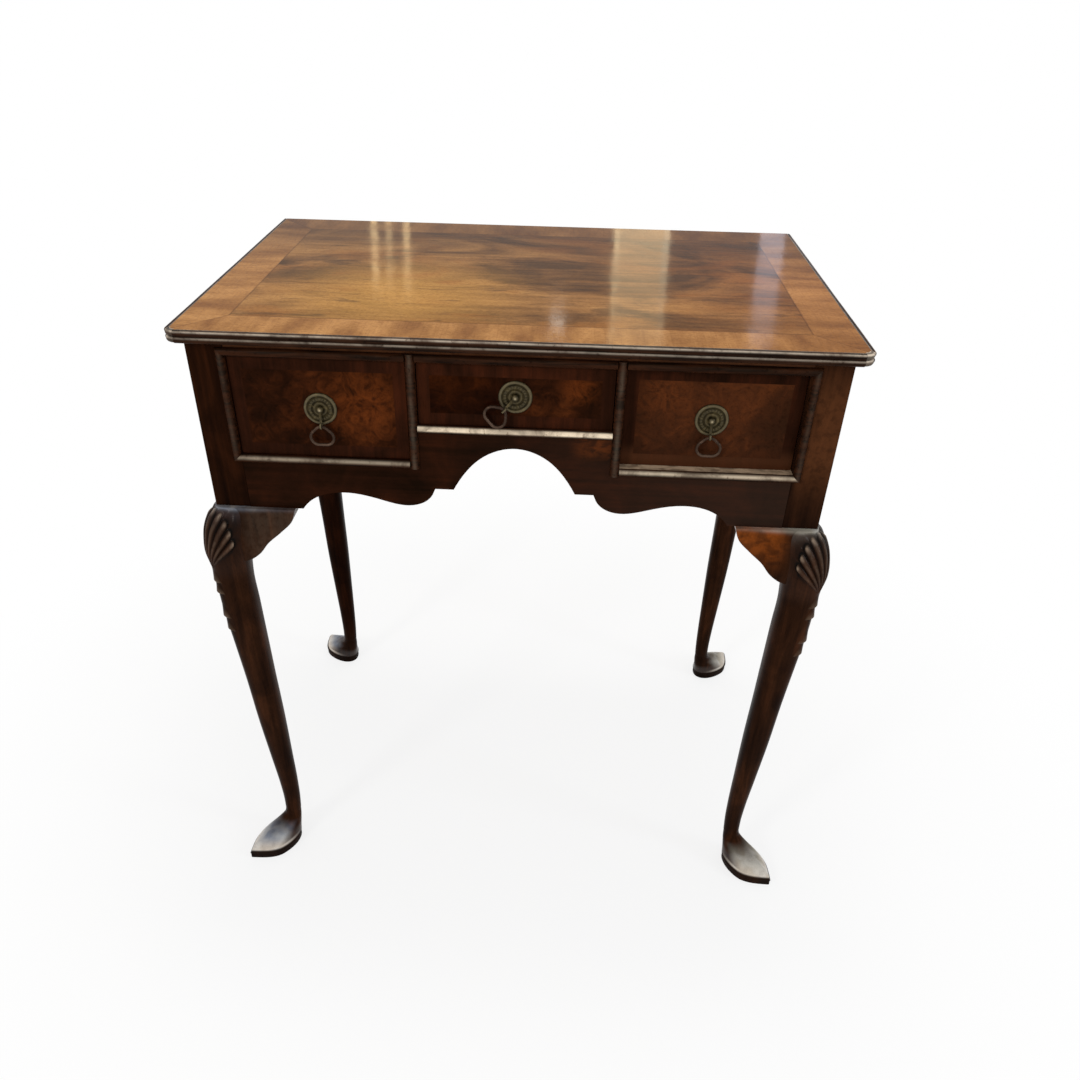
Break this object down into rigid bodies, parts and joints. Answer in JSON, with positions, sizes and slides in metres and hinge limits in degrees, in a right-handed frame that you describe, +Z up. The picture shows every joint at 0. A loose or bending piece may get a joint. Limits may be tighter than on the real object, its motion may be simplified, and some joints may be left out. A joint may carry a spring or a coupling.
{
  "type": "lowboy",
  "caption": "Walnut lowboy with three drawers over a shaped, arched apron, on four cabriole legs with carved shell knees and slipper feet; ring pulls.",
  "frame": {"origin": "on the floor, in the middle of the width and depth over the feet", "axes": "+Z up, front with the drawers faces -Y, +X to the right seen from the front"},
  "size_m": [0.6994, 0.4834, 0.72],
  "materials": {
    "top_veneer": "french-polished figured walnut, faded golden brown, worn",
    "top_banding": "french-polished walnut crossband, grain across the strip",
    "edge_walnut": "polished walnut moulding, rubbed pale on the rolls",
    "case_walnut": "dark polished walnut",
    "leg_walnut": "dark polished solid walnut, carved knees",
    "bead_walnut": "rubbed walnut half-round bead",
    "burr_walnut": "polished burr walnut veneer",
    "drawer_banding": "polished dark walnut crossband",
    "oak_lining": "old unpolished oak",
    "antique_brass": "dark antique brass, rubbed bright on the high points",
    "iron": "old blued wood screws"
  },
  "bodies": {
    "case": {"leg_front_left": "leg_walnut", "leg_front_right": "leg_walnut", "leg_back_left": "leg_walnut", "leg_back_right": "leg_walnut", "knee_brackets_front_left": "leg_walnut", "knee_brackets_front_right": "leg_walnut", "knee_brackets_back_left": "leg_walnut", "knee_brackets_back_right": "leg_walnut", "front_apron": "case_walnut", "top_rail": "case_walnut", "side_panel_left": "case_walnut", "side_panel_right": "case_walnut", "muntin_left": "case_walnut", "muntin_right": "case_walnut", "back_panel": "oak_lining", "partition_left": "oak_lining", "partition_right": "oak_lining", "drawer_runners": "oak_lining", "drawer_guides": "oak_lining", "drawer_kickers": "oak_lining", "drawer_stops": "oak_lining", "corner_blocks": "oak_lining", "top_board": "oak_lining", "top_screws": "iron", "cock_beads": "bead_walnut", "top_field_veneer": "top_veneer", "top_crossband": "top_banding", "top_edge_moulding": "edge_walnut"},
    "drawer_left": {"drawer_left_front": "oak_lining", "drawer_left_side_left": "oak_lining", "drawer_left_side_right": "oak_lining", "drawer_left_back": "oak_lining", "drawer_left_bottom": "oak_lining", "drawer_left_burr_veneer": "burr_walnut", "drawer_left_crossband": "drawer_banding", "pull_left_plate": "antique_brass"},
    "pull_left_swivel": {"pull_left_pin": "antique_brass"},
    "pull_left_ring": {"pull_left_ring": "antique_brass"},
    "drawer_centre": {"drawer_centre_front": "oak_lining", "drawer_centre_side_left": "oak_lining", "drawer_centre_side_right": "oak_lining", "drawer_centre_back": "oak_lining", "drawer_centre_bottom": "oak_lining", "drawer_centre_burr_veneer": "burr_walnut", "drawer_centre_crossband": "drawer_banding", "pull_centre_plate": "antique_brass"},
    "pull_centre_swivel": {"pull_centre_pin": "antique_brass"},
    "pull_centre_ring": {"pull_centre_ring": "antique_brass"},
    "drawer_right": {"drawer_right_front": "oak_lining", "drawer_right_side_left": "oak_lining", "drawer_right_side_right": "oak_lining", "drawer_right_back": "oak_lining", "drawer_right_bottom": "oak_lining", "drawer_right_burr_veneer": "burr_walnut", "drawer_right_crossband": "drawer_banding", "pull_right_plate": "antique_brass"},
    "pull_right_swivel": {"pull_right_pin": "antique_brass"},
    "pull_right_ring": {"pull_right_ring": "antique_brass"}
  },
  "joints": [
    {"name": "drawer_left_slide", "type": "slide", "parent": "case", "child": "drawer_left", "axis": [0, -1, 0], "range_m": [0, 0.3]},
    {"name": "pull_left_turn", "type": "hinge", "parent": "drawer_left", "child": "pull_left_swivel", "pos_m": [-0.191, -0.204, 0.6418], "axis": [0, 1, 0], "range_deg": [-90, 90]},
    {"name": "pull_left_lift", "type": "hinge", "parent": "pull_left_swivel", "child": "pull_left_ring", "pos_m": [-0.191, -0.2093, 0.625], "axis": [-1, 0, 0], "range_deg": [-4, 95]},
    {"name": "drawer_centre_slide", "type": "slide", "parent": "case", "child": "drawer_centre", "axis": [0, -1, 0], "range_m": [0, 0.3]},
    {"name": "pull_centre_turn", "type": "hinge", "parent": "drawer_centre", "child": "pull_centre_swivel", "pos_m": [0, -0.204, 0.66125], "axis": [0, 1, 0], "range_deg": [0, 55]},
    {"name": "pull_centre_lift", "type": "hinge", "parent": "pull_centre_swivel", "child": "pull_centre_ring", "pos_m": [-0.01064, -0.2093, 0.64943], "axis": [-0.6428, 0, 0.766], "range_deg": [-4, 95]},
    {"name": "drawer_right_slide", "type": "slide", "parent": "case", "child": "drawer_right", "axis": [0, -1, 0], "range_m": [0, 0.3]},
    {"name": "pull_right_turn", "type": "hinge", "parent": "drawer_right", "child": "pull_right_swivel", "pos_m": [0.191, -0.1965, 0.6418], "axis": [0, 1, 0], "range_deg": [-90, 90]},
    {"name": "pull_right_lift", "type": "hinge", "parent": "pull_right_swivel", "child": "pull_right_ring", "pos_m": [0.191, -0.2018, 0.625], "axis": [-1, 0, 0], "range_deg": [-4, 95]}
  ]
}
